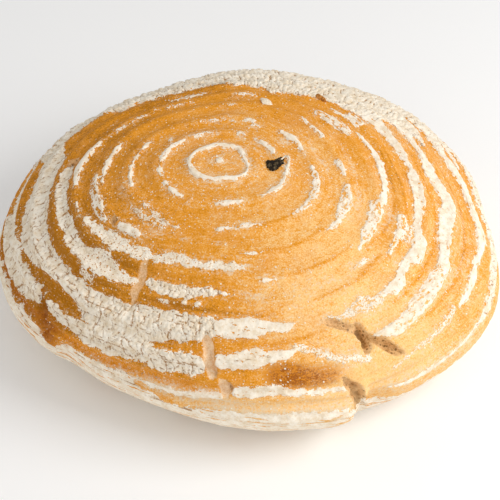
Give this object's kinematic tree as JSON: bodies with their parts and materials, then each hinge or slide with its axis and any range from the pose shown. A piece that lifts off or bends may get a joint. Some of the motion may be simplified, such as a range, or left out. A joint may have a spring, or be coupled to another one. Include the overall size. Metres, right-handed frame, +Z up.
{
  "type": "sourdough loaf",
  "caption": "Whole round sourdough loaf with concentric flour rings from its proofing basket, torn crust at the front and a flat base.",
  "frame": {"origin": "middle of the loaf's box on its flat base", "axes": "+Z up through the crown, -Y towards the torn front, +X to the right seen from the front"},
  "size_m": [0.2473, 0.2365, 0.095],
  "materials": {
    "crust": "dry baked crust with dusted flour"
  },
  "bodies": {
    "root": {"loaf": "crust"}
  },
  "joints": []
}
